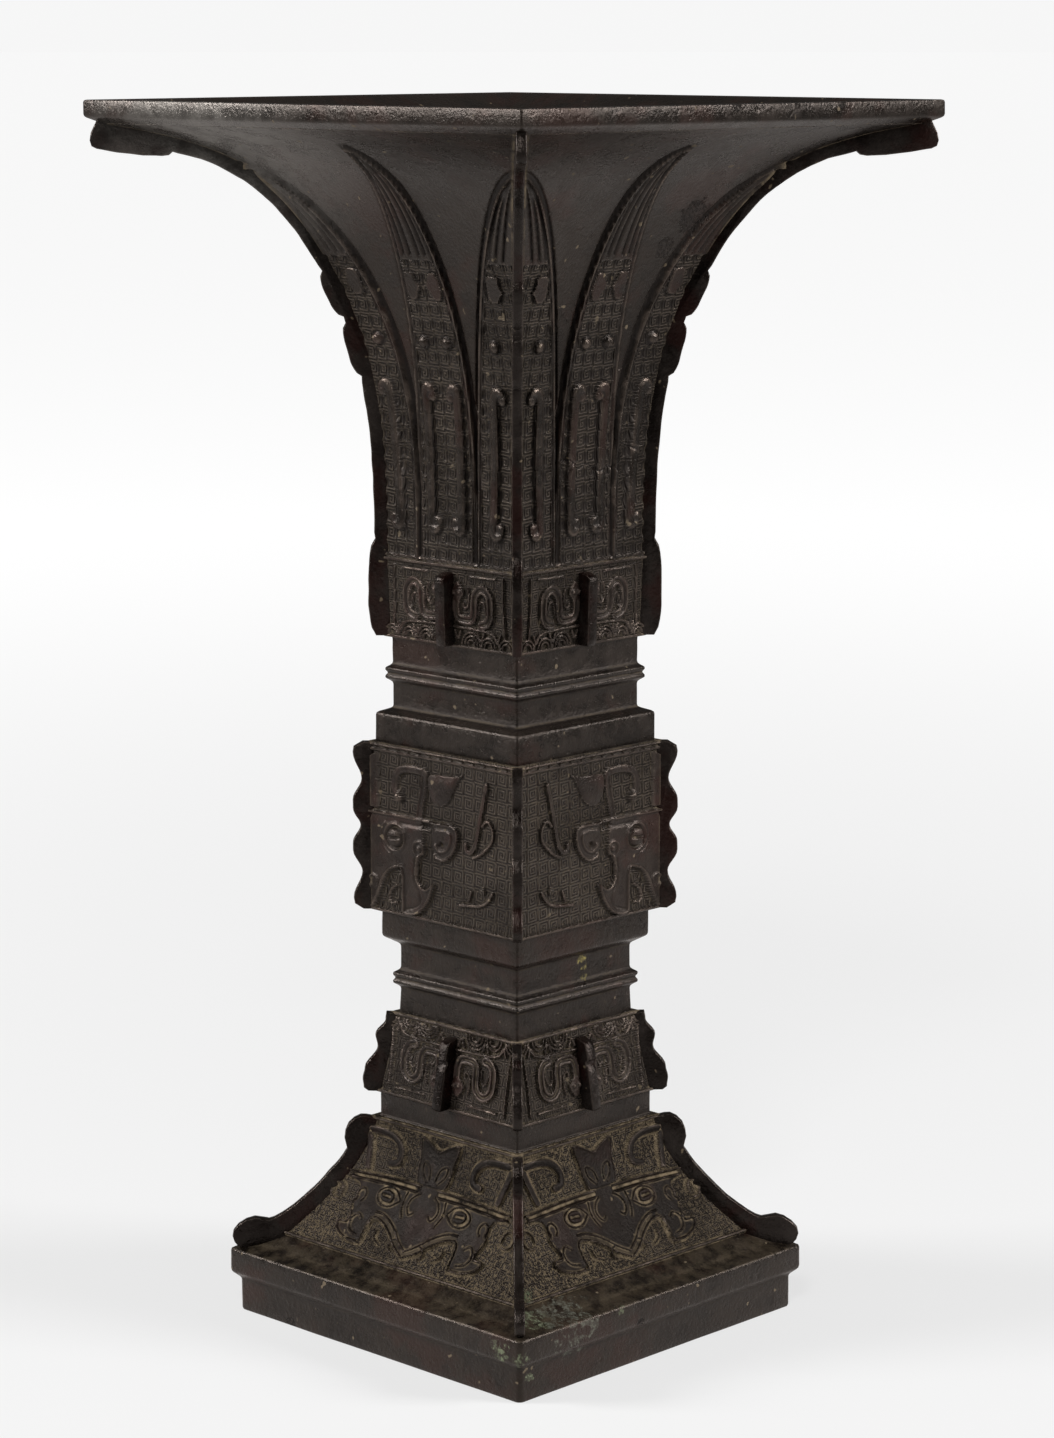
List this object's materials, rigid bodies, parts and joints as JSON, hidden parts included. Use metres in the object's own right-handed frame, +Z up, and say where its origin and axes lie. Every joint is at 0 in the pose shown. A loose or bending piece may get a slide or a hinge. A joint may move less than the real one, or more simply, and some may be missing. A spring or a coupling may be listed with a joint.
{
  "type": "square gu vase",
  "caption": "Tall square cast vase with a flared square mouth, a waist block and a spreading stepped foot, with scalloped flanges along its corners.",
  "frame": {"origin": "centre of the underside of the foot", "axes": "+Z up along the axis of the vase, +X and -Y square to the two sides the picture shows"},
  "size_m": [0.1936, 0.1936, 0.4],
  "materials": {
    "dark_bronze": "dark brown-black patinated bronze, satin on the plain faces, with pale dirt in the recesses"
  },
  "bodies": {
    "root": {"gu_vase": "dark_bronze"}
  },
  "joints": []
}
